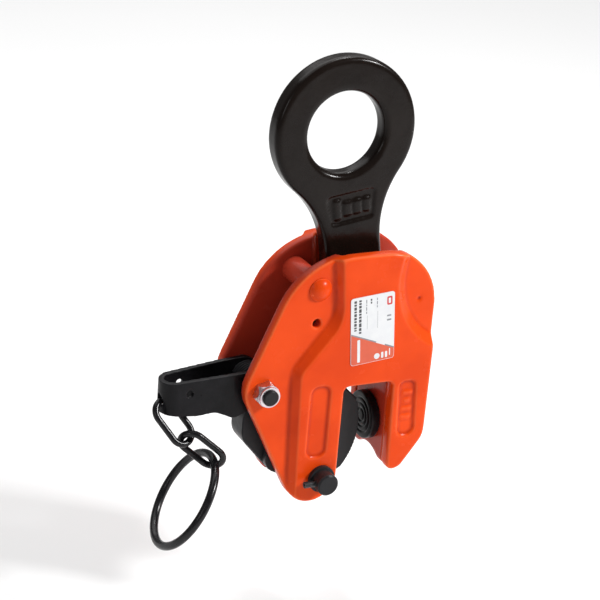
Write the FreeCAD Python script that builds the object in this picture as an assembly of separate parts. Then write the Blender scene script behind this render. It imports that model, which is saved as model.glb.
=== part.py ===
import FreeCAD, Part
import math
import os

# Vertical plate lifting clamp: a pair of pressed side plates carry a swivel jaw pad on one leg of
# the plate slot and a toothed cam on the other. The lifting eye pulls the cam shut through two links.
#
# Frame: millimetres, +Z up along the plate slot, +X from the cam towards the jaw pad, +Y from the
# front plate to the rear plate. The origin is the centre of the lifting eye's bore.

V = FreeCAD.Vector

# ---- driving dimensions ------------------------------------------------------------------------

# side plates
PLATE_GAP = 29.0          # clear width between the flat parts of the two plates
PLATE_T = 8.0             # sheet thickness
RAISE = 5.0               # height of the pressed centre panel
SLOT_LEFT_X = 3.1         # plate slot, cam side
SLOT_RIGHT_X = 37.4       # plate slot, pad side
SLOT_TOP_Z = -155.0
RIGHT_EDGE_X = 63.4
BEVEL_CENTRE = (85.0, -88.0)   # the panel's right edge is an arc about this point
BEVEL_BASE_R = 45.0
BEVEL_TOP_R = 51.5
EDGE_ROUND = 1.4
POCKET_DEPTH = 1.6

# lifting eye
EYE_R = 46.0
EYE_BORE_R = 24.8
EYE_T = 13.8
EYE_RIM_ROUND = 3.4
EYE_BORE_ROUND = 4.1
EYE_LEAN = 9.2            # degrees, top of the eye towards the cam side
SHANK_HALF_W = 18.8
NECK_R = 60.0
SHANK_L = 114.0           # from the bore's centre to the lower pin
STAMP_DEPTH = 1.0
# raised blocks in the stamped recess: middle x, middle z, half width, half height
STAMP_BLOCKS = (
    (-9.6, -46.5, 1.9, 6.2), (-2.9, -47.0, 2.3, 4.2), (3.6, -47.0, 2.3, 4.2), (10.0, -47.0, 2.1, 4.2),
)

# cam and its linkage
CAM_PIVOT = (-8.2, -214.3)
CAM_T = 17.0
CAM_PIN_R = 7.0
CAM_PIN_PROUD = 11.5
ROLL_PIN_R = 2.0
ROLL_PIN_PROUD = 7.0
CAM_ARC_CENTRE = (-20.8, -190.8)
CAM_ARC_R = 47.0
TOOTH_PITCH = 3.2         # degrees
TOOTH_DEPTH = 0.9
CAM_ARM_R = 24.0          # from the cam's pivot to the pin it shares with the links
CAM_ARM_RISE = 25.0       # degrees of that arm above -X
LINK_PIN_R = 4.5
LINK_T = 4.5
LINK_HALF_W = 7.5
LINK_BULGE = 14.0

# travel of the linkage: the eye's pin slides along Z while the cam and the links turn in proportion
SLIDE_DOWN = -14.4
SLIDE_UP = 4.3
CAM_TURN_PER_MM = 0.0437      # radians per millimetre of slide
LINK_TURN_PER_MM = -0.0021
SLOT_CLEARANCE = 0.35         # round the cam's pin in the links' slotted holes

# swivel jaw pad
PAD_Z = -189.0
PAD_FACE_X = 31.4
PAD_R = 15.5
PAD_STUB_R = 7.0

# lock lever
LEVER_PIVOT = (-48.6, -153.4)
LEVER_T = 3.5
LEVER_END_HALF_W = 9.9
LEVER_EAR_HALF_W = 12.4
LEVER_END_X = -107.5
LOCK_BOLT_R = 5.0         # M10 bolt
LOCK_NUT_AF = 14.0        # nut of the small series
LOCK_BOLT_PROUD = 10.0    # bolt end beyond the front plate
LEVER_HOLE = (-91.5, -154.7)
CHAIN_HOLE_Z = -160.5
CHAIN_HOLE_R = 4.2

# spacer rivets, small holes
RIVET_LEFT = (-17.0, -90.6)
SPACER_RIGHT = (51.6, -103.0)
DIMPLE_R = 2.2
SMALL_HOLE = (-17.3, -112.4)
SPACER_R = 7.8
RIVET_R = 5.0
RIVET_HEAD_R = 7.6
RIVET_HEAD_H = 4.2

RUN = 0.05                # radial clearance of a running fit
STANDOFF = 0.3            # side clearance between parts that move past each other

# worked out from the above
INNER = PLATE_GAP / 2
OUTER = INNER + PLATE_T
FACE = OUTER + RAISE
PANEL_INNER = INNER + RAISE
LEAN = math.radians(EYE_LEAN)
EYE_PIN = (SHANK_L * math.sin(LEAN), -SHANK_L * math.cos(LEAN))
LINK_PIN_ON_CAM = (
    CAM_PIVOT[0] - CAM_ARM_R * math.cos(math.radians(CAM_ARM_RISE)),
    CAM_PIVOT[1] + CAM_ARM_R * math.sin(math.radians(CAM_ARM_RISE)),
)


# ---- helpers -----------------------------------------------------------------------------------

def rounded_wire(corners, y):
    """Closed wire at height y: straight sides between corners (x, z, radius), each corner an arc."""
    count = len(corners)
    arcs = []
    for i in range(count):
        x, z, r = corners[i]
        corner = V(x, y, z)
        before = V(corners[i - 1][0], y, corners[i - 1][1])
        after = V(corners[(i + 1) % count][0], y, corners[(i + 1) % count][1])
        to_before = (before - corner).normalize()
        to_after = (after - corner).normalize()
        half = to_before.getAngle(to_after) / 2
        reach = r / math.tan(half)
        middle = corner + (to_before + to_after).normalize() * (r / math.sin(half) - r)
        arcs.append((corner + to_before * reach, middle, corner + to_after * reach))
    edges = []
    for i in range(count):
        start, middle, end = arcs[i]
        edges.append(Part.Arc(start, middle, end).toShape())
        following = arcs[(i + 1) % count][0]
        if end.distanceToPoint(following) > 0.001:
            edges.append(Part.LineSegment(end, following).toShape())
    return Part.Wire(edges)


def slab(corners, y0, y1):
    """Solid of a rounded outline between two heights along Y."""
    return Part.Face(rounded_wire(corners, y0)).extrude(V(0, y1 - y0, 0))


def tapered_slab(base_corners, y0, top_corners, y1):
    return Part.makeLoft([rounded_wire(base_corners, y0), rounded_wire(top_corners, y1)], True, True)


def disc_y(centre, r, y0, y1):
    """Round bar along Y through the point centre = (x, z)."""
    return Part.makeCylinder(r, y1 - y0, V(centre[0], y0, centre[1]), V(0, 1, 0))


def ring_y(centre, r_out, r_in, y0, y1):
    return disc_y(centre, r_out, y0, y1).cut(disc_y(centre, r_in, y0 - 1, y1 + 1))


def disc_x(y, z, r, x0, x1):
    return Part.makeCylinder(r, x1 - x0, V(x0, y, z), V(1, 0, 0))


def mirror_y(shape):
    return shape.mirror(V(0, 0, 0), V(0, 1, 0))


def both_sides(shape):
    """Group of a piece and its mirror image across the clamp's middle plane."""
    return Part.makeCompound([shape, mirror_y(shape)])


def hexagon(centre, across_flats, y0, y1):
    r = across_flats / math.sqrt(3)
    points = []
    for k in range(7):
        a = math.radians(60 * k + 15)
        points.append(V(centre[0] + r * math.cos(a), y0, centre[1] + r * math.sin(a)))
    return Part.Face(Part.makePolygon(points)).extrude(V(0, y1 - y0, 0))


def edges_where(shape, test):
    return [e for e in shape.Edges if test(e)]


def lies_at_y(edge, y):
    box = edge.BoundBox
    return abs(box.YMin - y) < 0.01 and abs(box.YMax - y) < 0.01


def turned(shape, centre, degrees):
    """Copy turned about the Y axis through centre."""
    copy = shape.copy()
    copy.rotate(V(centre[0], 0, centre[1]), V(0, 1, 0), degrees)
    return copy


def export(name, shape):
    if len(shape.Solids) == 1:
        shape = shape.Solids[0]
    if not shape.isValid():
        raise RuntimeError(name + " is not a valid shape")
    shape.exportStep("parts/" + name + ".step")
    print(name, len(shape.Solids), "solid(s)", round(shape.Volume), "mm3")


# ---- side plates -------------------------------------------------------------------------------

def plate_outline():
    """Outline of one side plate, anticlockwise from the cam side's corner."""
    return [
        (-63.1, -153.3, 20.0),
        (3.1, -286.1, 17.2),
        (SLOT_LEFT_X, SLOT_TOP_Z, 3.5),
        (SLOT_RIGHT_X - 0.7, SLOT_TOP_Z, 3.5),
        (SLOT_RIGHT_X + 1.0, -217.8, 4.5),
        (47.9, -215.4, 7.0),
        (RIGHT_EDGE_X - 0.5, -195.0, 15.0),
        (RIGHT_EDGE_X, -69.3, 38.5),
        (-28.1, -70.5, 50.0),
    ]


def flat_zone(shift, y0, y1):
    """The region on the cam side that the pressed panel leaves flat, with its sloped border."""
    base = [
        (-90.0, -60.0, 1.0), (-90.0, -240.0, 1.0), (-28.0 + shift, -240.0, 1.0),
        (-32.0 + shift, -141.0, 12.0), (-4.6 + shift, -106.0, 28.0), (-11.0 + shift, -60.0, 1.0),
    ]
    top = [
        (-90.0, -60.0, 1.0), (-90.0, -240.0, 1.0), (-24.0 + shift, -240.0, 1.0),
        (-27.2 + shift, -143.0, 10.0), (-1.4 + shift, -112.0, 24.0), (-6.6 + shift, -60.0, 1.0),
    ]
    return tapered_slab(base, y0, top, y1)


def panel(y0, y1, shift):
    """Pressed centre panel between two heights; shift moves its sloped borders inwards."""
    body = slab(plate_outline(), y0, y1)
    cone = Part.makeCone(
        BEVEL_BASE_R + shift, BEVEL_TOP_R + shift, y1 - y0,
        V(BEVEL_CENTRE[0], y0, BEVEL_CENTRE[1]), V(0, 1, 0),
    )
    return body.cut(cone).cut(flat_zone(shift, y0, y1))


def leg_pocket(corners, bars):
    """Shallow pocket in a leg's face; bars are the (z, length) of raised strips left standing in it."""
    pocket = slab(corners, FACE - POCKET_DEPTH, FACE + 1)
    for z, length in bars:
        x = (corners[0][0] + corners[1][0] + corners[2][0] + corners[3][0]) / 4
        strip = [(x - length / 2, z + 1.1, 0.9), (x - length / 2, z - 1.1, 0.9),
                 (x + length / 2, z - 1.1, 0.9), (x + length / 2, z + 1.1, 0.9)]
        pocket = pocket.cut(slab(strip, FACE - POCKET_DEPTH - 1, FACE - POCKET_DEPTH + 0.7))
    return pocket


def side_plate():
    """The rear plate: flat sheet plus panel, hollow behind the panel, with every hole."""
    plate = slab(plate_outline(), INNER, OUTER).fuse(panel(OUTER, FACE, 0.0)).removeSplitter()
    rim = edges_where(plate, lambda e: lies_at_y(e, FACE) and e.Length > 2.0)
    plate = plate.makeFillet(EDGE_ROUND, rim)
    plate = plate.cut(panel(INNER - 0.01, PANEL_INNER, 3.5))
    left_pocket = [(-19.6, -152.0, 5.0), (-19.6, -200.0, 5.0), (-6.0, -200.0, 5.0), (-6.0, -152.0, 5.0)]
    right_pocket = [(41.2, -155.5, 4.0), (43.2, -193.6, 5.5), (55.6, -193.6, 5.5), (53.0, -155.5, 4.0)]
    plate = plate.cut(leg_pocket(left_pocket, []))
    plate = plate.cut(leg_pocket(right_pocket, [(-164.0, 6.5), (-169.5, 4.0), (-175.0, 6.5), (-180.5, 6.5)]))
    for centre, r in (
        (CAM_PIVOT, CAM_PIN_R + RUN), (LEVER_PIVOT, LOCK_BOLT_R + RUN), (SMALL_HOLE, 2.8),
        (RIVET_LEFT, RIVET_R),
    ):
        plate = plate.cut(disc_y(centre, r, 0, FACE + 5))
    return plate.cut(Part.makeSphere(DIMPLE_R, V(SPACER_RIGHT[0], OUTER + 0.9, SPACER_RIGHT[1])))


# ---- jaw block and swivel pad ------------------------------------------------------------------

JAW_BLOCK_HALF_W = PANEL_INNER
BLOCK_LEFT_X = SLOT_RIGHT_X + 0.6


def jaw_block():
    """Solid block between the right legs; its underside is arched between the plates."""
    outline = [
        (BLOCK_LEFT_X - 0.6, -158.0, 2.0), (BLOCK_LEFT_X + 0.6, -216.8, 3.5), (46.9, -214.4, 7.0),
        (RIGHT_EDGE_X - 2.2, -194.6, 14.0), (RIGHT_EDGE_X - 2.2, -146.0, 4.0), (48.0, -146.0, 4.0),
    ]
    block = slab(outline, -JAW_BLOCK_HALF_W, JAW_BLOCK_HALF_W)
    block = block.cut(disc_x(0, -230.5, 20.5, 30, 70))
    block = block.cut(disc_x(0, PAD_Z, PAD_STUB_R + RUN, 30, 58.0))
    return block.cut(jaw_pin_bar(0.0))


def jaw_pin_bar(grow):
    """Cross pin that keeps the pad's stub in the block: it lies in the stub's groove."""
    return Part.makeCylinder(1.5 + grow, 2 * 11.0, V(50.0, -11.0, PAD_Z - PAD_STUB_R), V(0, 1, 0))


def swivel_jaw():
    """Round pad with ring grooves on its face and a grooved stub behind."""
    pad = disc_x(0, PAD_Z, PAD_R, PAD_FACE_X, BLOCK_LEFT_X - 0.9)
    pad = pad.makeFillet(1.0, edges_where(pad, lambda e: e.BoundBox.XMax < PAD_FACE_X + 0.1))
    pad = pad.fuse(disc_x(0, PAD_Z, PAD_STUB_R, BLOCK_LEFT_X - 1.0, 57.5))
    for r in (4.0, 7.5, 11.0):
        groove = Part.makeTorus(r, 0.7, V(PAD_FACE_X, 0, PAD_Z), V(1, 0, 0))
        pad = pad.cut(groove)
    neck = disc_x(0, PAD_Z, PAD_STUB_R + 1, 48.2, 51.8)
    neck = neck.cut(disc_x(0, PAD_Z, PAD_STUB_R - 1.8, 47.0, 53.0))
    return pad.cut(neck)


# ---- cam ---------------------------------------------------------------------------------------

def cam_blank():
    """Cam before its teeth: arm and heel behind, and in front an arc that is off the pivot's centre."""
    outline = [
        (32.0, -181.9, 1.0), (13.8, -163.9, 4.0), (-54.8, -168.5, 11.0), (-54.8, -190.5, 14.0),
        (-34.5, -214.5, 9.0), (-17.5, -224.4, 8.0), (2.0, -227.8, 8.0), (32.0, -210.9, 1.0),
    ]
    half = CAM_T / 2
    blank = slab(outline, -half, half).common(disc_y(CAM_ARC_CENTRE, CAM_ARC_R, -half, half))
    rim = edges_where(blank, lambda e: lies_at_y(e, half) or lies_at_y(e, -half))
    return blank.makeChamfer(0.8, rim)


def tooth_gap(degrees):
    """V groove across the cam's gripping arc."""
    a = math.radians(degrees)
    cx, cz = CAM_ARC_CENTRE
    out = V(math.cos(a), 0, math.sin(a))
    side = V(-math.sin(a), 0, math.cos(a))
    centre = V(cx, 0, cz)
    root = centre + out * (CAM_ARC_R - TOOTH_DEPTH)
    rim = centre + out * (CAM_ARC_R + 0.3)
    corners = [root, rim + side * 1.2, rim - side * 1.2, root]
    corners = [c - V(0, CAM_T, 0) for c in corners]
    return Part.Face(Part.makePolygon(corners)).extrude(V(0, 2 * CAM_T, 0))


def gripping_cam():
    cam = cam_blank()
    for k in range(17):
        cam = cam.cut(tooth_gap(20.5 - TOOTH_PITCH * k))
    cam = cam.cut(disc_y(CAM_PIVOT, CAM_PIN_R + RUN, -20, 20))
    return cam.cut(disc_y(LINK_PIN_ON_CAM, LINK_PIN_R, -20, 20))


def cam_pin():
    """Pin through both plates, with a cross hole in each end for its roll pin."""
    pin = disc_y(CAM_PIVOT, CAM_PIN_R, -(FACE + CAM_PIN_PROUD), FACE + CAM_PIN_PROUD)
    pin = pin.makeChamfer(1.0, edges_where(pin, lambda e: e.Curve.TypeId == "Part::GeomCircle"))
    for y in (-(FACE + 6.0), FACE + 6.0):
        pin = pin.cut(roll_pin(y, ROLL_PIN_R))
    return pin


def roll_pin(y, r):
    """Bar through the cam pin's end, proud on the cam side and just inside the pin on the other."""
    start = V(CAM_PIVOT[0] - CAM_PIN_R - ROLL_PIN_PROUD, y, CAM_PIVOT[1])
    return Part.makeCylinder(r, ROLL_PIN_PROUD + 2 * CAM_PIN_R - 0.6, start, V(1, 0, 0))


def cam_pin_roll_pins():
    pins = []
    for y in (-(FACE + 6.0), FACE + 6.0):
        bore = Part.makeCylinder(0.9, 30.0, V(CAM_PIVOT[0] - 16.0, y, CAM_PIVOT[1]), V(1, 0, 0))
        slit = Part.makeBox(30.0, 0.8, 4.0, V(CAM_PIVOT[0] - 16.0, y - 0.4, CAM_PIVOT[1]))
        pins.append(roll_pin(y, ROLL_PIN_R).cut(bore).cut(slit))
    return Part.makeCompound(pins)


# ---- links -------------------------------------------------------------------------------------

LINK_Y = CAM_T / 2 + 0.4


SLOT_STEPS = 10


def turned_point(point, centre, angle):
    """Point (x, z) turned by an angle in radians about the Y axis through centre."""
    dx = point[0] - centre[0]
    dz = point[1] - centre[1]
    return (
        centre[0] + dx * math.cos(angle) + dz * math.sin(angle),
        centre[1] - dx * math.sin(angle) + dz * math.cos(angle),
    )


def cam_pin_seen_from_link(slide):
    """Where the cam's pin lies in the link's own frame when the eye's pin has slid this far."""
    on_cam = turned_point(LINK_PIN_ON_CAM, CAM_PIVOT, CAM_TURN_PER_MM * slide)
    return turned_point((on_cam[0], on_cam[1] - slide), EYE_PIN, -LINK_TURN_PER_MM * slide)


def link():
    """Curved flat link from the eye's pin to the cam's pin; its cam hole is a short slot."""
    bx, bz = EYE_PIN
    ax, az = LINK_PIN_ON_CAM
    eye_end = V(bx, 0, bz)
    cam_end = V(ax, 0, az)
    along = (cam_end - eye_end).normalize()
    across = V(along.z, 0, -along.x)
    chord = eye_end.distanceToPoint(cam_end)
    bend_r = (chord * chord / 4 + LINK_BULGE * LINK_BULGE) / (2 * LINK_BULGE)
    bend_centre = (eye_end + cam_end) * 0.5 + across * (LINK_BULGE - bend_r)
    band = ring_y((bend_centre.x, bend_centre.z), bend_r + LINK_HALF_W, bend_r - LINK_HALF_W, 0, LINK_T)
    to_eye = eye_end - bend_centre
    to_cam = cam_end - bend_centre
    wedge = Part.Face(Part.makePolygon([
        bend_centre - V(0, 5, 0), bend_centre + to_eye * 1.8 - V(0, 5, 0),
        bend_centre + (to_eye + to_cam) * 1.6 - V(0, 5, 0), bend_centre + to_cam * 1.8 - V(0, 5, 0),
        bend_centre - V(0, 5, 0),
    ])).extrude(V(0, LINK_T + 10, 0))
    body = band.common(wedge)
    for end in (EYE_PIN, LINK_PIN_ON_CAM):
        body = body.fuse(disc_y(end, LINK_HALF_W + 2.5, 0, LINK_T))
    body = body.cut(disc_y(EYE_PIN, LINK_PIN_R + RUN, -1, LINK_T + 1))
    for k in range(SLOT_STEPS + 1):
        slide = SLIDE_DOWN + (SLIDE_UP - SLIDE_DOWN) * k / SLOT_STEPS
        body = body.cut(disc_y(cam_pin_seen_from_link(slide), LINK_PIN_R + SLOT_CLEARANCE, -1, LINK_T + 1))
    body = body.removeSplitter()
    body.translate(V(0, LINK_Y, 0))
    return body


def cam_link_pin():
    """Plain pin through the links and the cam's arm; the side plates keep it in."""
    end = INNER - STANDOFF
    pin = disc_y(LINK_PIN_ON_CAM, LINK_PIN_R, -end, end)
    return pin.makeChamfer(0.6, edges_where(pin, lambda e: e.Curve.TypeId == "Part::GeomCircle"))


CLIP_Y = LINK_Y + LINK_T + 1.1
CLIP_HALF_T = 0.5
CLIP_GROOVE = 0.8


def eye_pin():
    """Pin through the eye and both links, with a clip groove near each end."""
    end = CLIP_Y + 1.9
    pin = disc_y(EYE_PIN, LINK_PIN_R, -end, end)
    pin = pin.makeChamfer(0.6, edges_where(pin, lambda e: e.Curve.TypeId == "Part::GeomCircle"))
    return pin.cut(both_sides(clip_ring(LINK_PIN_R + 1)))


def clip_ring(outer_r):
    return ring_y(EYE_PIN, outer_r, LINK_PIN_R - CLIP_GROOVE, CLIP_Y - CLIP_HALF_T, CLIP_Y + CLIP_HALF_T)


def eye_pin_clips():
    """Pair of E clips sitting in the pin's grooves."""
    mouth = Part.makeBox(5.0, 4.0, 12.0, V(EYE_PIN[0] - 2.5, CLIP_Y - 2.0, EYE_PIN[1] - 12.0))
    return both_sides(clip_ring(LINK_PIN_R + 2.2).cut(mouth))


def eye_spacers():
    """Washers that fill the space between the eye's shank and the links."""
    return both_sides(ring_y(EYE_PIN, 9.0, LINK_PIN_R + RUN, EYE_T / 2 + 0.2, LINK_Y - 0.2))


# ---- lifting eye -------------------------------------------------------------------------------

def lifting_eye():
    """Forged eye: ring, necked shank, lower pin hole and a stamped panel, built upright then leaned."""
    half = EYE_T / 2
    centre_x = SHANK_HALF_W + NECK_R
    centre_z = -math.sqrt((EYE_R + NECK_R) ** 2 - centre_x ** 2)
    touch = EYE_R / (EYE_R + NECK_R)
    neck_touch = V(centre_x * touch, 0, centre_z * touch)
    straight = V(SHANK_HALF_W, 0, centre_z)
    mean_angle = (math.atan2(neck_touch.z - centre_z, neck_touch.x - centre_x) + math.pi) / 2
    neck_mid = V(centre_x + NECK_R * math.cos(mean_angle), 0, centre_z + NECK_R * math.sin(mean_angle))
    shoulder = V(SHANK_HALF_W, 0, -SHANK_L)

    def flip(p):
        return V(-p.x, p.y, p.z)

    edges = [
        Part.Arc(neck_touch, V(0, 0, EYE_R), flip(neck_touch)).toShape(),
        Part.Arc(flip(neck_touch), flip(neck_mid), flip(straight)).toShape(),
        Part.LineSegment(flip(straight), flip(shoulder)).toShape(),
        Part.Arc(flip(shoulder), V(0, 0, -SHANK_L - SHANK_HALF_W), shoulder).toShape(),
        Part.LineSegment(shoulder, straight).toShape(),
        Part.Arc(straight, neck_mid, neck_touch).toShape(),
    ]
    eye = Part.Face(Part.Wire(edges)).extrude(V(0, EYE_T, 0))
    eye.translate(V(0, -half, 0))
    rim = edges_where(eye, lambda e: abs(abs(e.BoundBox.Center.y) - half) < 0.01)
    eye = eye.makeFillet(EYE_RIM_ROUND, rim)
    eye = eye.cut(disc_y((0, 0), EYE_BORE_R, -half - 1, half + 1))
    bore = edges_where(eye, lambda e: e.BoundBox.DiagonalLength < 2 * math.sqrt(2) * EYE_BORE_R + 0.1
                       and e.BoundBox.ZMin > -EYE_BORE_R - 0.1
                       and abs(abs(e.BoundBox.Center.y) - half) < 0.01)
    eye = eye.makeFillet(EYE_BORE_ROUND, bore)
    frame = [(-17.0, -37.0, 3.5), (-14.0, -56.0, 2.5), (14.0, -56.0, 2.5), (17.0, -37.0, 3.5)]
    for side in (-1, 1):
        face = side * half
        recess = slab(frame, face - STAMP_DEPTH, face + STAMP_DEPTH)
        for x, z, half_w, half_h in STAMP_BLOCKS:
            block = slab([(x - half_w, z + half_h, 1.0), (x - half_w, z - half_h, 1.0),
                          (x + half_w, z - half_h, 1.0), (x + half_w, z + half_h, 1.0)],
                         face - STAMP_DEPTH - 1, face + STAMP_DEPTH + 1)
            recess = recess.cut(block)
        eye = eye.cut(recess)
    eye = eye.cut(disc_y((0, -SHANK_L), LINK_PIN_R + RUN, -20, 20))
    return turned(eye, (0, 0), -EYE_LEAN)


# ---- lock lever --------------------------------------------------------------------------------

def lever_plan(half_end, half_ear, end_x):
    """Plan of the lever strap at its outer or inner skin: a U whose arms spread towards the ears."""
    centre_x = end_x + half_end
    points = [
        V(centre_x, half_end, 0), V(-64.0, half_ear, 0), V(-30.0, half_ear, 0),
        V(-30.0, -half_ear, 0), V(-64.0, -half_ear, 0), V(centre_x, -half_end, 0),
    ]
    edges = [Part.LineSegment(a, b).toShape() for a, b in zip(points[:-1], points[1:])]
    edges.append(Part.Arc(points[-1], V(end_x, 0, 0), points[0]).toShape())
    face = Part.Face(Part.Wire(edges))
    face.translate(V(0, 0, -190.0))
    return face.extrude(V(0, 0, 70.0))


def lock_lever():
    skin = lever_plan(LEVER_END_HALF_W, LEVER_EAR_HALF_W, LEVER_END_X)
    hollow = lever_plan(LEVER_END_HALF_W - LEVER_T, LEVER_EAR_HALF_W - LEVER_T, LEVER_END_X + LEVER_T)
    side = [
        (-120.0, -149.0, 1.0), (-120.0, -167.2, 1.0), (-86.0, -169.8, 20.0), (-75.0, -168.2, 12.0),
        (-63.0, -173.5, 5.0), (-42.0, -166.0, 11.0), (-37.0, -147.5, 9.0), (-48.0, -143.4, 9.0),
    ]
    strap = skin.cut(hollow).common(slab(side, -20, 20))
    strap = strap.cut(disc_y(LEVER_PIVOT, LOCK_BOLT_R + RUN, -20, 20))
    strap = strap.cut(disc_y(LEVER_HOLE, 2.2, -20, 20))
    return strap.cut(disc_x(0, CHAIN_HOLE_Z, CHAIN_HOLE_R, LEVER_END_X - 2, LEVER_END_X + 9))


SPRING_POST = (-68.0, -160.3)
SPRING_POST_R = 2.5


def spring_post():
    """Bar welded between the lever's arms for the spring's long leg to bear on."""
    half = LEVER_EAR_HALF_W - LEVER_T
    post = disc_y(SPRING_POST, SPRING_POST_R, -half - 1, half + 1)
    hollow = lever_plan(LEVER_END_HALF_W - LEVER_T, half, LEVER_END_X + LEVER_T)
    return post.common(hollow)


def lever_sleeve():
    """Tube on the lock bolt that keeps the lever's ears apart."""
    half = LEVER_EAR_HALF_W - LEVER_T - 0.2
    return ring_y(LEVER_PIVOT, 7.2, LOCK_BOLT_R + RUN, -half, half)


SPRING_WIRE_R = 1.0
SPRING_COIL_R = 8.7
SPRING_HALF_L = 7.0


def lock_spring():
    """Torsion spring round the sleeve as its outer envelope, with its two straight legs."""
    x, z = LEVER_PIVOT
    leg_y = SPRING_HALF_L - 1.3
    coil = ring_y(LEVER_PIVOT, SPRING_COIL_R + 1.1, SPRING_COIL_R - 1.1, -SPRING_HALF_L, SPRING_HALF_L)
    long_leg = Part.makeCylinder(SPRING_WIRE_R, 22.0, V(x, leg_y, z - SPRING_COIL_R), V(-1, 0, -0.11))
    short_leg = Part.makeCylinder(SPRING_WIRE_R, 12.0, V(x + SPRING_COIL_R, -leg_y, z), V(0, 0, 1))
    return coil.fuse(long_leg).fuse(short_leg).removeSplitter()


def lock_bolt():
    """Hexagon bolt, head behind the rear plate, end through the nut on the front plate."""
    shank = disc_y(LEVER_PIVOT, LOCK_BOLT_R, -(OUTER + LOCK_BOLT_PROUD), OUTER)
    tip = edges_where(shank, lambda e: e.BoundBox.YMax < -OUTER and e.Curve.TypeId == "Part::GeomCircle")
    shank = shank.makeChamfer(0.8, tip)
    return shank.fuse(hexagon(LEVER_PIVOT, LOCK_NUT_AF, OUTER, OUTER + 5.3)).removeSplitter()


def lock_nut():
    """Hexagon nut with chamfered corners and a smaller collar."""
    nut = hexagon(LEVER_PIVOT, LOCK_NUT_AF, -(OUTER + 6.2), -OUTER)
    cone = Part.makeCone(8.8, 6.8, 7.4, V(LEVER_PIVOT[0], -OUTER + 0.6, LEVER_PIVOT[1]), V(0, -1, 0))
    nut = nut.common(cone)
    nut = nut.fuse(disc_y(LEVER_PIVOT, 6.5, -(OUTER + 8.0), -(OUTER + 5.6)))
    return nut.cut(disc_y(LEVER_PIVOT, LOCK_BOLT_R, -60, 0)).removeSplitter()


# ---- chain and pull ring -----------------------------------------------------------------------

# Each link lies in a plane: centre, direction of its length, and the plane's normal.
CHAIN_WIRE_R = 2.1
CHAIN_LINK_L = 34.0
CHAIN_LINK_W = 18.8
UPPER_LINK = ((-100.0, -7.6, -173.0), (0.51, -0.41, -0.755), (0.22, -0.79, 0.58))
LOWER_LINK = ((-84.2, -15.7, -189.6), (0.74, -0.21, -0.64), (-0.50, -0.80, -0.32))
RING_CENTRE = (-93.4, -15.1, -221.9)
RING_NORMAL = (-0.843, 0.134, 0.521)
RING_MEAN_R = 30.7
RING_WIRE_R = 2.65


def chain_link(place):
    """Oval link of round wire: two straight sides and two half-circle ends, swept along its middle."""
    centre, axis, normal = place
    centre = V(*centre)
    axis = V(*axis).normalize()
    normal = V(*normal)
    normal = (normal - axis * normal.dot(axis)).normalize()
    side = normal.cross(axis)
    bend = CHAIN_LINK_W / 2 - CHAIN_WIRE_R
    half = CHAIN_LINK_L / 2 - CHAIN_WIRE_R - bend

    solids = []
    for sign in (-1, 1):
        start = centre + side * (bend * sign) - axis * half
        solids.append(Part.makeCylinder(CHAIN_WIRE_R, 2 * half, start, axis))
        end = centre + axis * (half * sign)
        ring = Part.makeTorus(bend, CHAIN_WIRE_R, end, normal)
        keep = Part.makeBox(60, 60, 60, V(-30, -30, 0))
        outwards = FreeCAD.Rotation(V(0, 0, 1), axis * sign)
        keep.Placement = FreeCAD.Placement(end, outwards).multiply(keep.Placement)
        solids.append(ring.common(keep))
    return solids[0].multiFuse(solids[1:]).removeSplitter()


def pull_ring():
    return Part.makeTorus(RING_MEAN_R, RING_WIRE_R, V(*RING_CENTRE), V(*RING_NORMAL))


# ---- rivets, bushes, label ---------------------------------------------------------------------

def left_spacer_rivet():
    """Rivet through both plates with a dome at each end."""
    shank = disc_y(RIVET_LEFT, RIVET_R, -OUTER, OUTER)
    ball_r = (RIVET_HEAD_R ** 2 + RIVET_HEAD_H ** 2) / (2 * RIVET_HEAD_H)
    ball = Part.makeSphere(ball_r, V(RIVET_LEFT[0], OUTER + RIVET_HEAD_H - ball_r, RIVET_LEFT[1]))
    dome = ball.common(disc_y(RIVET_LEFT, RIVET_HEAD_R, OUTER, OUTER + RIVET_HEAD_H))
    return shank.multiFuse([dome, mirror_y(dome)]).removeSplitter()


def rating_label():
    """Thin plate on the front panel."""
    centre = (17.9, -117.2)
    half_w, half_h = 14.8, 22.2
    corners = [(centre[0] + a * half_w, centre[1] + b * half_h, 1.8)
               for a, b in ((-1, 1), (-1, -1), (1, -1), (1, 1))]
    return turned(slab(corners, -(FACE + 0.4), -FACE), centre, -5.3)


# ---- build -------------------------------------------------------------------------------------

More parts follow.
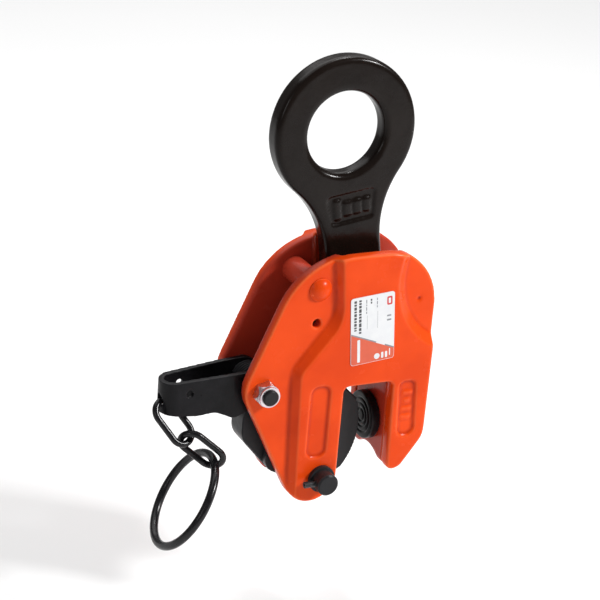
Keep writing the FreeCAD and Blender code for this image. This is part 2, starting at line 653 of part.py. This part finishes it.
def main():
    os.makedirs("parts", exist_ok=True)
    rear = side_plate()
    export("rear_side_plate", rear)
    export("front_side_plate", mirror_y(rear))
    export("jaw_block", jaw_block())
    export("swivel_jaw", swivel_jaw())
    export("swivel_jaw_retaining_pin", jaw_pin_bar(0.0))
    export("gripping_cam", gripping_cam())
    export("cam_pin", cam_pin())
    export("cam_pin_roll_pins", cam_pin_roll_pins())
    export("cam_pin_washers", both_sides(ring_y(CAM_PIVOT, 8.6, CAM_PIN_R + RUN, FACE, FACE + 2.5)))
    bush = ring_y(CAM_PIVOT, 11.0, CAM_PIN_R + RUN, CAM_T / 2 + STANDOFF, PANEL_INNER)
    export("cam_bushes", both_sides(bush))
    link_rear = link()
    export("rear_link", link_rear)
    export("front_link", mirror_y(link_rear))
    export("eye_pin", eye_pin())
    export("eye_pin_clips", eye_pin_clips())
    export("eye_spacer_washers", eye_spacers())
    export("cam_link_pin", cam_link_pin())
    export("lifting_eye", lifting_eye())
    export("lock_lever", lock_lever())
    export("spring_post", spring_post())
    export("lever_sleeve", lever_sleeve())
    washer = ring_y(LEVER_PIVOT, 9.0, LOCK_BOLT_R + RUN, LEVER_EAR_HALF_W + STANDOFF, INNER)
    export("lever_washers", both_sides(washer))
    export("lock_spring", lock_spring())
    export("lock_bolt", lock_bolt())
    export("lock_nut", lock_nut())
    export("upper_chain_link", chain_link(UPPER_LINK))
    export("lower_chain_link", chain_link(LOWER_LINK))
    export("pull_ring", pull_ring())
    export("left_spacer_rivet", left_spacer_rivet())
    export("left_spacer_tube", ring_y(RIVET_LEFT, SPACER_R, RIVET_R, -INNER, INNER))
    export("right_spacer", disc_y(SPACER_RIGHT, SPACER_R, -INNER, INNER))
    export("rating_label", rating_label())


main()
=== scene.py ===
import math
import random

import bmesh
import bpy
from mathutils import Matrix, Vector, noise


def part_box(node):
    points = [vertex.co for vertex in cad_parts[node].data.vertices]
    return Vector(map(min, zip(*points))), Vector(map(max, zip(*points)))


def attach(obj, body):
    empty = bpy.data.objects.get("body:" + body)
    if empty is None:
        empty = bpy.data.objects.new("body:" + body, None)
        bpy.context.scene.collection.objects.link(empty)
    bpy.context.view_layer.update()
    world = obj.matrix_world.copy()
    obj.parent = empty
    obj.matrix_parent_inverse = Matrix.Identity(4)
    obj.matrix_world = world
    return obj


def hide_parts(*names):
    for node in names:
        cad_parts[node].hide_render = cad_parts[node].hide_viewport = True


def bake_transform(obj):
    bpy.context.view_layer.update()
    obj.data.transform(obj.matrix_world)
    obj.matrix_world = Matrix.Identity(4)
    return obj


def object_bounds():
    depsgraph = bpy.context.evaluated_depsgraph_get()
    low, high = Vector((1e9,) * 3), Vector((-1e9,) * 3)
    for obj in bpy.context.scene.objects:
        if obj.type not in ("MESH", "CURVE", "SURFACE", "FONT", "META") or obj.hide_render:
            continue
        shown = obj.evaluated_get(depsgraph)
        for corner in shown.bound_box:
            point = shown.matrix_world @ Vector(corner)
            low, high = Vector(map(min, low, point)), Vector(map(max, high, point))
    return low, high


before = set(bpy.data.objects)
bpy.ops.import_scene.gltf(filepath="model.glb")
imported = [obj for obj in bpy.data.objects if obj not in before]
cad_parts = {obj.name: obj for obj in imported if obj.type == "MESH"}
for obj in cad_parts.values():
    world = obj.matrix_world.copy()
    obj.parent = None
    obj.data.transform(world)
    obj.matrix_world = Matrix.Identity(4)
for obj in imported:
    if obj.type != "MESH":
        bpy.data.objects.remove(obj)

# Vertical plate lifting clamp, in the frame's axes: the origin is the centre of the lifting eye's
# bore, +Z up, +X from the cam to the swivel jaw, -Y towards the viewer. Lengths are in metres
# unless a name or a comment says mm.

cad_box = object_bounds()
MM = 0.001

# Noise values between which one shade or gloss passes into the next.
SOFT = (0.35, 0.65)
WIDE = (0.3, 0.7)

# Lock spring.
COIL_R = 8.7 * MM
COIL_HALF = 5.7 * MM         # half the coil's length along the lock bolt
COIL_TURNS = 5.25
STEPS_PER_TURN = 44
WIRE_R = 1.0 * MM
WIRE_SIDES = 14
SHORT_LEG = 12.0 * MM
SHORT_LEG_WAY = (0.0, 0.0, 1.0)
LONG_LEG = 20.0 * MM
LONG_LEG_WAY = (-1.0, 0.0, -0.11)
LEG_PARTS = 5

# Rating label, in mm from its middle, u to the right and v up.
LABEL_LEAN = math.radians(-5.3)
LABEL_HALF_W = 14.8
LABEL_HALF_H = 22.2
LABEL_CORNER_R = 1.8
LABEL_CORNER_PARTS = 6
LABEL_THICK = 0.34
LABEL_SINK = 0.06            # the stock's face behind the CAD label's, which leaves room for ink
INK = 0.03                   # one layer of ink
INK_ROOT = -0.1              # where ink starts inside the stock
MARGIN = 0.2                 # stock left round the coloured corner
SIDE_END = 1.6               # the coloured corner's left side ends this far above the label's edge
LINE_LEFT, LINE_RIGHT = -1.8, -15.6    # where the slanting line meets the label's sides
LINE_W = 0.9
LINE_GAP = (2.4, 8.4)        # the slanting line is broken between these
STRIP_LENGTHS = (1.1, 2.6)
STRIP_GAP = 0.55
STRIP_LEAST = 0.8            # no strip starts with less room than this
STRIP_CORNER_R = 0.22
STRIP_CORNER_PARTS = 3
STRIP_SEED = 7
RULE_W = 0.16
DOT = (3.0, -18.9, 1.9)      # u, v, radius
DOT_SIDES = 28
STOCK, RED, DARK, GREY, CRIMSON = range(5)

# Columns of strips that stand for text: u, top, bottom, width, ink.
TEXT_COLUMNS = (
    (-12.6, 20.4, 0.6, 1.7, DARK),
    (-9.4, 20.4, -1.6, 1.7, DARK),
    (-4.6, 20.0, 10.2, 0.6, GREY),
    (-1.6, 20.0, 16.6, 1.0, DARK),
    (2.6, 20.0, 12.4, 0.6, GREY),
)
# Thin upright rules: u, v, length.
RULES = ((-3.9, 0.5, 9.0), (3.2, 0.0, 11.2))
# Plain rounded blocks: u, v, width, height, corner radius, parts in a corner, layers of ink, ink.
UPPER_BLOCKS = (
    (9.6, 13.8, 3.6, 5.6, 0.9, 6, 1, CRIMSON),
    (10.6, 14.9, 1.5, 3.4, 0.3, 3, 2, STOCK),
    (9.6, 3.4, 3.0, 1.1, 0.5, 6, 1, GREY),
    (9.6, 6.2, 3.0, 1.1, 0.5, 6, 1, GREY),
)
LOWER_BLOCKS = (
    (-10.4, -20.6, 1.9, 15.0, 0.5, 3, 2, STOCK),
    (6.0, -20.8, 1.5, 4.0, 0.5, 3, 2, STOCK),
    (8.6, -20.8, 1.5, 4.0, 0.5, 3, 2, STOCK),
    (11.4, -19.9, 0.7, 4.6, 0.3, 3, 2, STOCK),
)

# Studio.
FLOOR_DROP = 0.060           # floor below the lowest point of the clamp
FLOOR_HALF = 6.0
CLAMP_MIDDLE = (0.0, 0.0, -0.13)
WORLD_STRENGTH = 0.22
# Area lights: name, place, aim, width and height, watts.
LIGHTS = (
    ("key", (1.10, -0.90, 0.80), CLAMP_MIDDLE, (0.30, 0.22), 28.0),
    ("fill", (-1.35, -0.75, 0.45), CLAMP_MIDDLE, (0.12, 0.5), 2.0),
    ("ceiling", (0.6, 1.5, 1.8), (0.6, 1.5, 0.0), (3.6, 3.2), 57.0),
    ("rim", (0.35, 0.25, 1.1), CLAMP_MIDDLE, (0.5, 0.08), 5.0),
)
CAMERA_PLACE = (-0.4912, -0.9042, 0.3012)
CAMERA_RIGHT = (0.8977, -0.4333, 0.0799)
CAMERA_UP = (0.0948, 0.3670, 0.9254)
CAMERA_BACK = (-0.4303, -0.8232, 0.3705)
LENS_MM = 109.06
SENSOR_MM = 36.0


# ---- shader helpers ------------------------------------------------------------------------------

def new_material(name, roughness, metallic=0.0, specular=0.5, coat=0.0, coat_roughness=0.1):
    material = bpy.data.materials.new(name)
    material.use_nodes = True
    tree = material.node_tree
    tree.nodes.clear()
    output = tree.nodes.new("ShaderNodeOutputMaterial")
    shader = tree.nodes.new("ShaderNodeBsdfPrincipled")
    shader.inputs["Roughness"].default_value = roughness
    shader.inputs["Metallic"].default_value = metallic
    shader.inputs["Specular IOR Level"].default_value = specular
    shader.inputs["Coat Weight"].default_value = coat
    shader.inputs["Coat Roughness"].default_value = coat_roughness
    tree.links.new(shader.outputs["BSDF"], output.inputs["Surface"])
    return material, tree, shader


def noise_value(tree, size_mm, detail=3.0, roughness=0.5, stretch=(1.0, 1.0, 1.0)):
    """Noise in the piece's own coordinates; size_mm is the size of its blobs."""
    coords = tree.nodes.new("ShaderNodeTexCoord")
    mapping = tree.nodes.new("ShaderNodeMapping")
    mapping.inputs["Scale"].default_value = stretch
    node = tree.nodes.new("ShaderNodeTexNoise")
    node.inputs["Scale"].default_value = 1.0 / (size_mm * MM)
    node.inputs["Detail"].default_value = detail
    node.inputs["Roughness"].default_value = roughness
    tree.links.new(coords.outputs["Object"], mapping.inputs["Vector"])
    tree.links.new(mapping.outputs["Vector"], node.inputs["Vector"])
    return node.outputs["Fac"]


def remap(tree, value, low, high, to_low=0.0, to_high=1.0):
    node = tree.nodes.new("ShaderNodeMapRange")
    node.inputs["From Min"].default_value = low
    node.inputs["From Max"].default_value = high
    node.inputs["To Min"].default_value = to_low
    node.inputs["To Max"].default_value = to_high
    tree.links.new(value, node.inputs["Value"])
    return node.outputs["Result"]


def product(tree, a, b):
    node = tree.nodes.new("ShaderNodeMath")
    node.operation = "MULTIPLY"
    tree.links.new(a, node.inputs[0])
    tree.links.new(b, node.inputs[1])
    return node.outputs["Value"]


def mixed(tree, share, a, b):
    """Colour a where share is 0 and b where it is 1; a and b are linear colours or sockets."""
    node = tree.nodes.new("ShaderNodeMix")
    node.data_type = "RGBA"
    tree.links.new(share, node.inputs["Factor"])
    for name, colour in (("A", a), ("B", b)):
        socket = [s for s in node.inputs if s.name == name and s.type == "RGBA"][0]
        if isinstance(colour, tuple):
            socket.default_value = colour + (1.0,)
        else:
            tree.links.new(colour, socket)
    return [s for s in node.outputs if s.type == "RGBA"][0]


def clouds(tree, value, band, a, b):
    """Colour a where the noise value is below the band, b where it is above."""
    return mixed(tree, remap(tree, value, *band), a, b)


def edge_value(tree, low, high):
    """Pointiness mapped to 0 at low and 1 at high; it is above 0.5 on a fine mesh's outer edges."""
    geometry = tree.nodes.new("ShaderNodeNewGeometry")
    return remap(tree, geometry.outputs["Pointiness"], low, high)


def edge_tint(tree, colour, low, high, most, tint):
    """The colour with a tint whose share is edge_value times most."""
    return mixed(tree, remap(tree, edge_value(tree, low, high), 0.0, 1.0, 0.0, most), colour, tint)


def depth_value(tree, near_mm, far_mm):
    """0 where the distance from the clamp's middle plane is below near_mm, 1 beyond far_mm."""
    coords = tree.nodes.new("ShaderNodeTexCoord")
    split = tree.nodes.new("ShaderNodeSeparateXYZ")
    size = tree.nodes.new("ShaderNodeMath")
    size.operation = "ABSOLUTE"
    tree.links.new(coords.outputs["Object"], split.inputs["Vector"])
    tree.links.new(split.outputs["Y"], size.inputs[0])
    return remap(tree, size.outputs["Value"], near_mm * MM, far_mm * MM)


def add_finish(tree, shader, colour, value, gloss, bumps):
    """Colour, a roughness that follows the noise value over the range gloss, and stacked bumps.

    Each bump is (height socket, depth in mm).
    """
    tree.links.new(colour, shader.inputs["Base Color"])
    tree.links.new(remap(tree, value, *WIDE, *gloss), shader.inputs["Roughness"])
    normal = None
    for height, depth_mm in bumps:
        bump = tree.nodes.new("ShaderNodeBump")
        bump.inputs["Strength"].default_value = 1.0
        bump.inputs["Distance"].default_value = depth_mm * MM
        tree.links.new(height, bump.inputs["Height"])
        if normal is not None:
            tree.links.new(normal, bump.inputs["Normal"])
        normal = bump.outputs["Normal"]
    tree.links.new(normal, shader.inputs["Normal"])


# ---- materials -----------------------------------------------------------------------------------

def orange_paint():
    """Thick enamel, even outside, a few chips; painted highlight on outer edges, painted shade in
    creases and between the plates.
    """
    material, tree, shader = new_material("orange_paint", 0.24, specular=0.12)
    deep, bright = (0.69, 0.052, 0.0036), (0.80, 0.068, 0.0056)
    # Painted shade for the faces between the plates, and the colour of bare metal at chips.
    painted_inner_shade, chipped = (0.46, 0.044, 0.022), (0.11, 0.05, 0.035)
    colour = clouds(tree, noise_value(tree, 38.0, 3.0), SOFT, deep, bright)
    # Painted highlight: light orange on the outer edges, where the mesh is pointed.
    colour = edge_tint(tree, colour, 0.508, 0.54, most=0.55, tint=(0.98, 0.20, 0.065))
    # Painted shade: dark red in creases and hollow corners, where pointiness is low.
    colour = edge_tint(tree, colour, 0.497, 0.47, most=0.75, tint=(0.34, 0.016, 0.004))
    # Painted shade: the faces between the plates, near the middle plane, turn dark red.
    colour = mixed(tree, depth_value(tree, 16.5, 21.5), painted_inner_shade, colour)
    speck = remap(tree, noise_value(tree, 2.2, 4.0, 0.6), 0.70, 0.73)
    chip = product(tree, speck, edge_value(tree, 0.53, 0.57))
    colour = mixed(tree, chip, colour, chipped)
    add_finish(tree, shader, colour, noise_value(tree, 14.0, 5.0, 0.6), gloss=(0.18, 0.30), bumps=[
        (noise_value(tree, 9.0, 2.0), 0.16), (noise_value(tree, 1.3, 3.0), 0.02),
    ])
    return material


def eye_lacquer():
    """Black lacquer over a forged skin: slow waves under a gloss, fine pits."""
    material, tree, shader = new_material("eye_lacquer", 0.2, specular=0.16)
    deep, pale = (0.0062, 0.0036, 0.0026), (0.0092, 0.0058, 0.0044)
    colour = clouds(tree, noise_value(tree, 22.0, 4.0), SOFT, deep, pale)
    colour = edge_tint(tree, colour, 0.52, 0.60, most=0.4, tint=(0.030, 0.026, 0.024))
    add_finish(tree, shader, colour, noise_value(tree, 7.0, 5.0, 0.6), gloss=(0.14, 0.26), bumps=[
        (noise_value(tree, 16.0, 2.0), 0.30), (noise_value(tree, 2.4, 4.0, 0.6), 0.035),
    ])
    return material


def blackened_steel(name="blackened_steel", wear=0.35, sheen=0.35, specular=0.15):
    """Black oxide with brushed streaks and paler rubbed edges; sheen is its mean roughness."""
    material, tree, shader = new_material(name, sheen, specular=specular)
    deep, pale = (0.0045, 0.0042, 0.0052), (0.0080, 0.0074, 0.0090)
    scuffed, rubbed = (0.022, 0.021, 0.023), (0.060, 0.060, 0.063)
    colour = clouds(tree, noise_value(tree, 6.0, 5.0, 0.6), SOFT, deep, pale)
    streaks = noise_value(tree, 1.1, 4.0, 0.65, stretch=(1.0, 1.0, 0.25))
    colour = mixed(tree, remap(tree, streaks, 0.60, 0.72, 0.0, 0.4), colour, scuffed)
    colour = edge_tint(tree, colour, 0.51, 0.56, most=wear, tint=rubbed)
    gloss = (sheen - 0.08, sheen + 0.08)
    add_finish(tree, shader, colour, noise_value(tree, 3.0, 5.0, 0.6), gloss, bumps=[
        (noise_value(tree, 5.0, 3.0), 0.06), (noise_value(tree, 0.9, 3.0, 0.6), 0.010),
    ])
    return material


def zinc_plate():
    """Bright zinc with faint warm and violet clouds and fine spangle."""
    material, tree, shader = new_material("zinc_plate", 0.24, metallic=1.0)
    violet, bright, warm = (0.60, 0.50, 0.56), (0.66, 0.65, 0.66), (0.40, 0.30, 0.34)
    colour = clouds(tree, noise_value(tree, 3.2, 3.0), (0.38, 0.62), violet, bright)
    stain = remap(tree, noise_value(tree, 2.6, 2.0), 0.60, 0.80, 0.0, 0.4)
    colour = mixed(tree, stain, colour, warm)
    add_finish(tree, shader, colour, noise_value(tree, 2.0, 3.0), gloss=(0.26, 0.40), bumps=[
        (noise_value(tree, 3.0, 2.0), 0.012),
    ])
    return material


def turned_steel():
    """Machined steel with fine tool marks across Y and a film of oil."""
    material, tree, shader = new_material("turned_steel", 0.34, metallic=1.0)
    shade = 0.42
    dark = (shade * 0.7, shade * 0.68, shade * 0.66)
    pale = (shade, shade, shade * 1.02)
    colour = clouds(tree, noise_value(tree, 4.0, 5.0), SOFT, dark, pale)
    marks = noise_value(tree, 0.35, 2.0, 0.5, stretch=(0.15, 1.0, 0.15))
    add_finish(tree, shader, colour, marks, gloss=(0.26, 0.44), bumps=[(marks, 0.012)])
    return material


def printed_film(name, colour, shade):
    """Label stock or ink: even colour with a slight mottle under a clear film."""
    material, tree, shader = new_material(name, 0.38, coat=0.4, coat_roughness=0.2)
    mottle = clouds(tree, noise_value(tree, 5.0, 4.0), SOFT, shade, colour)
    add_finish(tree, shader, mottle, noise_value(tree, 2.0, 3.0), gloss=(0.32, 0.46), bumps=[
        (noise_value(tree, 1.2, 3.0), 0.008),
    ])
    return material


ORANGE_PAINT = orange_paint()
EYE_LACQUER = eye_lacquer()
BLACK_STEEL = blackened_steel()
BLACK_GLOSS = blackened_steel("blackened_steel_gloss", wear=0.4, sheen=0.25, specular=0.3)
ZINC_PLATE = zinc_plate()
TURNED_STEEL = turned_steel()
SPRING_STEEL = blackened_steel("spring_steel", wear=0.15, sheen=0.4, specular=0.1)
# In the order STOCK, RED, DARK, GREY, CRIMSON.
LABEL_PRINT = (
    printed_film("label_film", (0.74, 0.75, 0.76), (0.70, 0.71, 0.73)),
    printed_film("label_ink_red", (0.66, 0.080, 0.020), (0.62, 0.072, 0.018)),
    printed_film("label_ink_dark", (0.035, 0.036, 0.040), (0.055, 0.056, 0.060)),
    printed_film("label_ink_grey", (0.19, 0.20, 0.22), (0.25, 0.26, 0.28)),
    printed_film("label_ink_crimson", (0.60, 0.008, 0.012), (0.52, 0.008, 0.012)),
)

# Nodes that get a softened skin: node, body, slot, material, voxel in mm, smoothing passes,
# ripple's depth in mm, ripple's size in mm.
SKINS = (
    ("front_side_plate", "frame", "orange_paint", ORANGE_PAINT, 0.85, 9, 0.10, 18.0),
    ("rear_side_plate", "frame", "orange_paint", ORANGE_PAINT, 0.85, 9, 0.10, 18.0),
    ("jaw_block", "frame", "orange_paint", ORANGE_PAINT, 0.8, 8, 0.10, 14.0),
    ("left_spacer_rivet", "frame", "orange_paint", ORANGE_PAINT, 0.4, 4, 0.06, 5.0),
    ("lifting_eye", "eye", "eye_lacquer", EYE_LACQUER, 0.7, 6, 0.12, 16.0),
    ("lock_lever", "lever", "blackened_steel", BLACK_STEEL, 0.45, 4, 0.05, 9.0),
    ("swivel_jaw", "jaw_pad", "blackened_steel", BLACK_STEEL, 0.4, 3, 0.04, 7.0),
    ("upper_chain_link", "chain_upper", "blackened_steel", BLACK_GLOSS, 0.25, 2, 0.08, 4.0),
    ("lower_chain_link", "chain_lower", "blackened_steel", BLACK_GLOSS, 0.25, 2, 0.08, 4.0),
    ("pull_ring", "ring", "blackened_steel", BLACK_GLOSS, 0.4, 2, 0.08, 6.0),
)

# Nodes whose CAD shape stays, by finish.
FINISHES = (
    (ORANGE_PAINT, ("left_spacer_tube", "right_spacer")),
    (BLACK_STEEL, ("gripping_cam", "cam_pin", "cam_pin_washers", "rear_link", "front_link",
                   "lock_bolt", "spring_post")),
    (ZINC_PLATE, ("lock_nut",)),
    (BLACK_GLOSS, ("cam_pin_roll_pins",)),
    (TURNED_STEEL, ("swivel_jaw_retaining_pin", "cam_bushes", "eye_pin", "eye_spacer_washers",
                    "cam_link_pin", "lever_sleeve", "lever_washers")),
    (SPRING_STEEL, ("eye_pin_clips",)),
)


# ---- mesh helpers --------------------------------------------------------------------------------

def paint(piece, *materials):
    """Sets the materials. Clearing also resets the faces' slots, so an empty list isn't cleared."""
    if len(piece.data.materials) > 0:
        piece.data.materials.clear()
    for material in materials:
        piece.data.materials.append(material)


def add_piece(name, mesh, body, slot, *materials):
    piece = bpy.data.objects.new(name, mesh)
    bpy.context.scene.collection.objects.link(piece)
    paint(piece, *materials)
    if body is not None:
        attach(piece, body)
    return piece


def finished_mesh(name, mesh):
    """A named mesh made from a bmesh, which is freed."""
    data = bpy.data.meshes.new(name)
    mesh.to_mesh(data)
    mesh.free()
    return data


def shade_smooth(mesh):
    for polygon in mesh.polygons:
        polygon.use_smooth = True


def softened(node, body, slot, material, voxel_mm, passes, ripple_mm, ripple_size_mm):
    """Replaces a CAD node by a fine skin of its shape, with round edges and slight unevenness."""
    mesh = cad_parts[node].data.copy()
    welded = bmesh.new()
    welded.from_mesh(mesh)
    bmesh.ops.remove_doubles(welded, verts=welded.verts, dist=1e-6)
    welded.to_mesh(mesh)
    welded.free()
    rough = bpy.data.objects.new("rough_" + node, mesh)
    bpy.context.scene.collection.objects.link(rough)
    remesh = rough.modifiers.new("remesh", "REMESH")
    remesh.mode = "VOXEL"
    remesh.voxel_size = voxel_mm * MM
    relax = rough.modifiers.new("relax", "SMOOTH")
    relax.factor = 0.5
    relax.iterations = passes
    graph = bpy.context.evaluated_depsgraph_get()
    skin = bpy.data.meshes.new_from_object(rough.evaluated_get(graph))
    bpy.data.objects.remove(rough)

    # Every place and normal is read before any vertex moves. All of them move inwards.
    smooth = [(vertex.co.copy(), vertex.normal.copy()) for vertex in skin.vertices]
    moved = []
    for place, normal in smooth:
        swell = noise.noise(place / (ripple_size_mm * MM))
        moved.extend(place - normal * (0.5 + 0.5 * swell) * ripple_mm * MM)
    skin.vertices.foreach_set("co", moved)
    skin.update()
    shade_smooth(skin)
    piece = add_piece(node + "_skin", skin, body, slot, material)
    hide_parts(node)


def bar_mesh(name, points, normals, radius, sides):
    """Round bar along points with flat ends; normals across the path fix where its sides start."""
    mesh = bmesh.new()
    last = len(points) - 1
    angles = [2.0 * math.pi * k / sides for k in range(sides)]
    rings = []
    for i, (point, normal) in enumerate(zip(points, normals)):
        along = (points[min(i + 1, last)] - points[max(i - 1, 0)]).normalized()
        across = (normal - along * normal.dot(along)).normalized()
        other = along.cross(across)
        rings.append([
            mesh.verts.new(point + (across * math.cos(a) + other * math.sin(a)) * radius)
            for a in angles
        ])
    for ring, following in zip(rings, rings[1:]):
        for k in range(sides):
            j = (k + 1) % sides
            mesh.faces.new((ring[k], ring[j], following[j], following[k]))
    mesh.faces.new(rings[0])
    mesh.faces.new(list(reversed(rings[-1])))
    bmesh.ops.recalc_face_normals(mesh, faces=mesh.faces)
    data = finished_mesh(name, mesh)
    shade_smooth(data)
    return data


# ---- spring --------------------------------------------------------------------------------------

def lock_spring():
    """Coil of round wire about the lever's sleeve, inside the CAD envelope, with both legs."""
    low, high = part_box("lever_sleeve")
    pivot = (low + high) / 2
    steps = int(COIL_TURNS * STEPS_PER_TURN)
    points, normals = [], []

    def spot(a, y):
        out = Vector((math.cos(a), 0.0, math.sin(a)))
        return pivot + out * COIL_R + Vector((0.0, y, 0.0)), out

    start, out = spot(0.0, -COIL_HALF)
    for k in range(LEG_PARTS, 0, -1):
        points.append(start + Vector(SHORT_LEG_WAY) * (SHORT_LEG * k / LEG_PARTS))
        normals.append(out)
    for i in range(steps + 1):
        share = i / steps
        here, out = spot(-2.0 * math.pi * COIL_TURNS * share, -COIL_HALF + 2.0 * COIL_HALF * share)
        points.append(here)
        normals.append(out)
    end, out = points[-1], normals[-1]
    for k in range(1, LEG_PARTS + 1):
        points.append(end + Vector(LONG_LEG_WAY) * (LONG_LEG * k / LEG_PARTS))
        normals.append(out)
    mesh = bar_mesh("lock_spring_coil", points, normals, WIRE_R, WIRE_SIDES)
    piece = add_piece("lock_spring_coil", mesh, None, "spring_steel", SPRING_STEEL)
    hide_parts("lock_spring")
    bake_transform(piece)


# ---- label ---------------------------------------------------------------------------------------

def arc(u, v, r, start, parts):
    """Quarter circle about (u, v) from the angle start, in degrees."""
    angles = [math.radians(start + 90.0 * k / parts) for k in range(parts + 1)]
    return [(u + r * math.cos(a), v + r * math.sin(a)) for a in angles]


def rounded(u, v, w, h, r, parts):
    """Outline of a rounded rectangle whose box has its lower left corner at (u, v)."""
    return (arc(u + w - r, v + h - r, r, 0, parts) + arc(u + r, v + h - r, r, 90, parts)
            + arc(u + r, v + r, r, 180, parts) + arc(u + w - r, v + r, r, 270, parts))


def rating_label():
    """Printed plate: white stock, a warm corner under a slanting line, plain strips for text."""
    low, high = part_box("rating_label")
    centre = (low + high) / 2
    mesh = bmesh.new()

    def place(u, v, lift):
        """The point (u, v), lift mm in front of the stock's face."""
        x = u * math.cos(LABEL_LEAN) + v * math.sin(LABEL_LEAN)
        z = -u * math.sin(LABEL_LEAN) + v * math.cos(LABEL_LEAN)
        return Vector((centre.x + x * MM, low.y + (LABEL_SINK - lift) * MM, centre.z + z * MM))

    def add_shape(corners, ink, top, bottom=INK_ROOT):
        """Closed thin shape between two lifts; corners run anticlockwise seen from the front."""
        front = [mesh.verts.new(place(u, v, top)) for u, v in corners]
        back = [mesh.verts.new(place(u, v, bottom)) for u, v in corners]
        faces = [mesh.faces.new(front), mesh.faces.new(list(reversed(back)))]
        for i in range(len(corners)):
            j = (i + 1) % len(corners)
            faces.append(mesh.faces.new((front[j], front[i], back[i], back[j])))
        for face in faces:
            face.material_index = ink

    def add_blocks(blocks):
        for u, v, w, h, r, parts, layers, ink in blocks:
            add_shape(rounded(u, v, w, h, r, parts), ink, layers * INK)

    def on_line(u):
        """The slanting line's lower edge at u."""
        slope = (LINE_RIGHT - LINE_LEFT) / (2 * LABEL_HALF_W)
        return u, LINE_LEFT + slope * (LABEL_HALF_W + u)

    stock = rounded(-LABEL_HALF_W, -LABEL_HALF_H, 2 * LABEL_HALF_W, 2 * LABEL_HALF_H,
                    LABEL_CORNER_R, LABEL_CORNER_PARTS)
    add_shape(stock, STOCK, 0.0, -LABEL_THICK)

    left, right = -LABEL_HALF_W + MARGIN, LABEL_HALF_W - MARGIN
    inset = MARGIN + LABEL_CORNER_R
    corner = [(left, LINE_LEFT), (left, -LABEL_HALF_H + SIDE_END)]
    for u, start in ((-LABEL_HALF_W + inset, 180), (LABEL_HALF_W - inset, 270)):
        corner += arc(u, -LABEL_HALF_H + inset, LABEL_CORNER_R, start, LABEL_CORNER_PARTS)
    corner.append((right, LINE_RIGHT))
    add_shape(corner, RED, INK)

    gap_start, gap_end = LINE_GAP
    for a, b in (((left, LINE_LEFT), on_line(gap_start)), (on_line(gap_end), (right, LINE_RIGHT))):
        add_shape([a, b, (b[0], b[1] + LINE_W), (a[0], a[1] + LINE_W)], GREY, 2 * INK)

    scatter = random.Random(STRIP_SEED)
    for u, top, bottom, width, ink in TEXT_COLUMNS:
        v = top
        while v > bottom + STRIP_LEAST:
            length = min(scatter.uniform(*STRIP_LENGTHS), v - bottom)
            strip = rounded(u, v - length, width, length, STRIP_CORNER_R, STRIP_CORNER_PARTS)
            add_shape(strip, ink, INK)
            v -= length + STRIP_GAP
    for u, v, length in RULES:
        add_shape([(u, v), (u + RULE_W, v), (u + RULE_W, v + length), (u, v + length)], GREY, INK)
    add_blocks(UPPER_BLOCKS)
    u, v, r = DOT
    angles = [2 * math.pi * k / DOT_SIDES for k in range(DOT_SIDES)]
    add_shape([(u + r * math.cos(a), v + r * math.sin(a)) for a in angles], STOCK, 2 * INK)
    add_blocks(LOWER_BLOCKS)
    bmesh.ops.recalc_face_normals(mesh, faces=mesh.faces)
    data = finished_mesh("rating_label_print", mesh)
    piece = add_piece("rating_label_print", data, "frame", "label_film", *LABEL_PRINT)
    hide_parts("rating_label")


# ---- stage ---------------------------------------------------------------------------------------

def floor():
    mesh = bmesh.new()
    bmesh.ops.create_grid(mesh, x_segments=2, y_segments=2, size=FLOOR_HALF)
    piece = bpy.data.objects.new("studio_floor", finished_mesh("studio_floor", mesh))
    piece.location = (0.0, 0.0, cad_box[0].z - FLOOR_DROP)
    bpy.context.scene.collection.objects.link(piece)
    material, tree, shader = new_material("studio_floor", 0.9, specular=0.1)
    grey, white = (0.86, 0.86, 0.86), (0.89, 0.89, 0.89)
    colour = clouds(tree, noise_value(tree, 900.0, 2.0), WIDE, grey, white)
    tree.links.new(colour, shader.inputs["Base Color"])
    paint(piece, material)


def area_light(name, place, aim, size, power):
    light = bpy.data.lights.new(name, "AREA")
    light.shape = "RECTANGLE"
    light.size, light.size_y = size
    light.energy = power
    lamp = bpy.data.objects.new(name, light)
    lamp.location = place
    lamp.rotation_euler = (Vector(aim) - Vector(place)).to_track_quat("-Z", "Y").to_euler()
    bpy.context.scene.collection.objects.link(lamp)


def surroundings():
    """Even white light from all round, and colours shown as they are."""
    world = bpy.data.worlds.new("studio")
    world.use_nodes = True
    background = world.node_tree.nodes["Background"]
    background.inputs["Color"].default_value = (1.0, 1.0, 1.0, 1.0)
    background.inputs["Strength"].default_value = WORLD_STRENGTH
    bpy.context.scene.world = world
    bpy.context.scene.view_settings.view_transform = "Standard"


def camera():
    """Long lens in front of the clamp, to its left and above it."""
    data = bpy.data.cameras.new("camera")
    data.sensor_width = SENSOR_MM
    data.lens = LENS_MM
    data.clip_start = 0.05
    data.clip_end = 30.0
    eye = bpy.data.objects.new("camera", data)
    turn = Matrix((CAMERA_RIGHT, CAMERA_UP, CAMERA_BACK)).transposed().to_4x4()
    eye.matrix_world = Matrix.Translation(CAMERA_PLACE) @ turn
    bpy.context.scene.collection.objects.link(eye)
    bpy.context.scene.camera = eye


# ---- build ---------------------------------------------------------------------------------------

for row in SKINS:
    softened(*row)
for finish, nodes in FINISHES:
    for node in nodes:
        paint(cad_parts[node], finish)
lock_spring()
rating_label()
floor()
for row in LIGHTS:
    area_light(*row)
surroundings()
camera()
